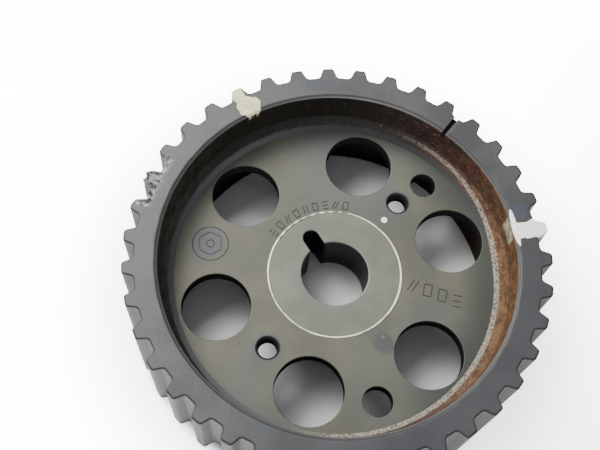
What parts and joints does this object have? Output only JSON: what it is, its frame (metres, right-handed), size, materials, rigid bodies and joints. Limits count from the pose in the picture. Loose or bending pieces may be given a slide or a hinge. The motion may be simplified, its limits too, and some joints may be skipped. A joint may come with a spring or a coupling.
{
  "type": "timing belt pulley",
  "caption": "Toothed rim on a windowed web with a keyed hub, which drives a camshaft from a toothed belt.",
  "frame": {"origin": "on the bore's axis, at the rear face on which the pulley lies", "axes": "+Z along the bore's axis from the rear face to the recessed front face; +X to the right seen from the front, with one tooth's crest centred on it; the keyway lies 121.9 degrees round from +X"},
  "size_m": [0.1167, 0.1168, 0.032],
  "materials": {
    "rim_oxide": "steam-oxidised sintered steel, satin, with rust on the inner wall",
    "web_oxide": "steam-oxidised sintered steel, satin olive grey",
    "hub_face": "finely turned, satin",
    "bright_ring": "bright turned edge",
    "pale_bead": "pale and granular"
  },
  "bodies": {
    "root": {"toothed_rim": "rim_oxide", "web_disc": "web_oxide", "hub": "hub_face", "hub_joint_ring": "bright_ring", "rim_joint_bead": "pale_bead"}
  },
  "joints": []
}
